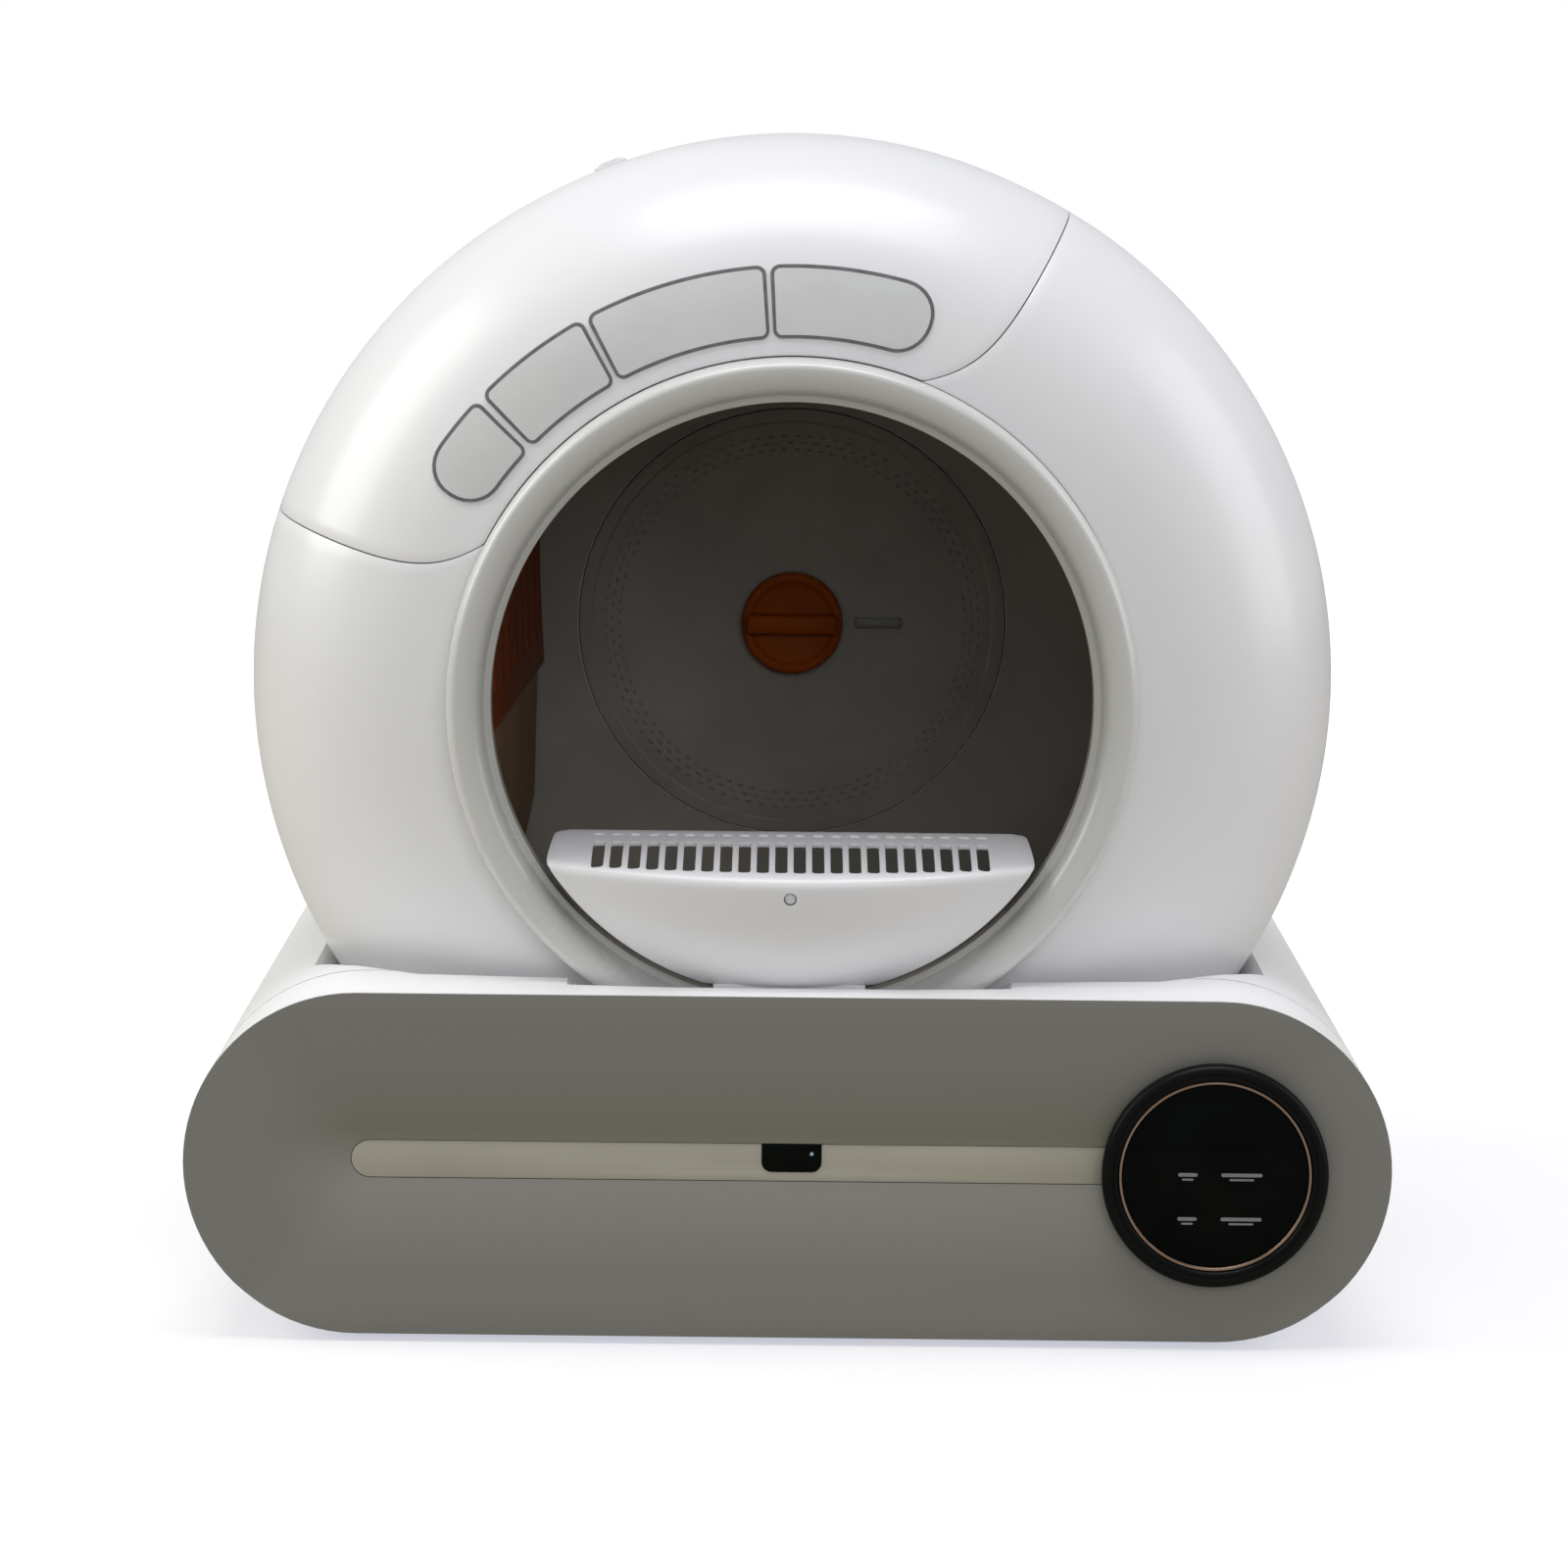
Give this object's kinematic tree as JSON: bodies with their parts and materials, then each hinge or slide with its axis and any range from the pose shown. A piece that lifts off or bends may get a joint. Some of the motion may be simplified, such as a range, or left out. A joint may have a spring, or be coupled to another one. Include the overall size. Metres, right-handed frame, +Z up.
{
  "type": "self cleaning litter box",
  "caption": "Self cleaning litter box: a round white drum with a front entry ring and lift-off top cover, turning over a waste drawer with a grey light-strip front.",
  "frame": {"origin": "on the floor, under the middle of the whole object's bounding box", "axes": "+Z up, +X to the object's right as seen from its front, +Y from the entry to the back"},
  "size_m": [0.6, 0.538, 0.597],
  "materials": {
    "white_plastic": "satin",
    "grey_fascia": "matt, fine grain",
    "dark_plastic": "matt",
    "orange_plastic": "satin",
    "black_gloss": "gloss",
    "black_satin": "satin",
    "copper_trim": "satin, copper coloured",
    "grey_lens": "satin",
    "clear_lens": "gloss",
    "rubber": "matt",
    "steel": "satin",
    "green_board": "satin"
  },
  "bodies": {
    "base": {"base_body": "white_plastic", "base_pan": "white_plastic", "pan_screw_1": "steel", "pan_screw_2": "steel", "pan_screw_3": "steel", "pan_screw_4": "steel", "foot_front_left": "rubber", "foot_front_right": "rubber", "foot_rear_left": "rubber", "foot_rear_right": "rubber", "runner_left": "dark_plastic", "runner_right": "dark_plastic", "base_contact": "black_satin", "roller_bracket_left": "dark_plastic", "roller_bracket_right": "dark_plastic", "roller_axle_left": "steel", "roller_axle_right": "steel", "rear_column": "white_plastic", "rear_cover": "white_plastic", "rear_cover_screw_1": "steel", "rear_cover_screw_2": "steel", "rear_cover_screw_3": "steel", "rear_cover_screw_4": "steel", "shaft_bearing": "steel", "gearbox": "black_satin", "motor": "steel", "main_board": "green_board", "power_inlet": "black_satin", "home_sensor": "black_satin"},
    "drawer": {"drawer_front": "white_plastic", "fascia_panel": "grey_fascia", "light_strip": "grey_lens", "led_board": "green_board", "status_window": "black_gloss", "status_led": "clear_lens", "control_bezel": "black_satin", "copper_ring": "copper_trim", "control_glass": "black_gloss", "control_board": "green_board", "waste_tray": "dark_plastic", "drawer_contact": "black_satin", "step_plate": "white_plastic", "step_sensor": "clear_lens"},
    "drum": {"drum_shell": "white_plastic", "inner_tub": "dark_plastic", "entry_ring": "white_plastic", "sieve": "orange_plastic", "sieve_ramp": "orange_plastic", "back_plate": "dark_plastic", "knob_pointer": "grey_lens", "drum_hub": "dark_plastic", "drive_hub": "steel", "home_magnet": "steel", "output_shaft": "steel"},
    "cover": {"top_cover": "white_plastic", "cover_liner": "dark_plastic"},
    "cover_lock_body": {"cover_lock": "dark_plastic"},
    "knob": {"lock_knob": "orange_plastic"},
    "roller_left": {"support_roller_left": "rubber"},
    "roller_right": {"support_roller_right": "rubber"}
  },
  "joints": [
    {"name": "drum_spin", "type": "hinge", "parent": "base", "child": "drum", "pos_m": [0, -0.093, 0.316], "axis": [0, 1, 0], "continuous": true},
    {"name": "drawer_slide", "type": "slide", "parent": "base", "child": "drawer", "axis": [0, -1, 0], "range_m": [0, 0.3]},
    {"name": "knob_turn", "type": "hinge", "parent": "drum", "child": "knob", "pos_m": [0, 0.1823, 0.316], "axis": [0, 1, 0], "range_deg": [0, 90]},
    {"name": "cover_lift", "type": "slide", "parent": "drum", "child": "cover", "axis": [0.3584, 0, -0.9336], "range_m": [-0.12, 0]},
    {"name": "lock_turn", "type": "hinge", "parent": "cover", "child": "cover_lock_body", "pos_m": [-0.10094, 0.043, 0.57896], "axis": [-0.3584, 0, 0.9336], "range_deg": [0, 90]},
    {"name": "roller_left_spin", "type": "hinge", "parent": "base", "child": "roller_left", "pos_m": [-0.20492, -0.071, 0.11108], "axis": [0, 1, 0], "continuous": true},
    {"name": "roller_right_spin", "type": "hinge", "parent": "base", "child": "roller_right", "pos_m": [0.20492, -0.071, 0.11108], "axis": [0, 1, 0], "continuous": true}
  ]
}
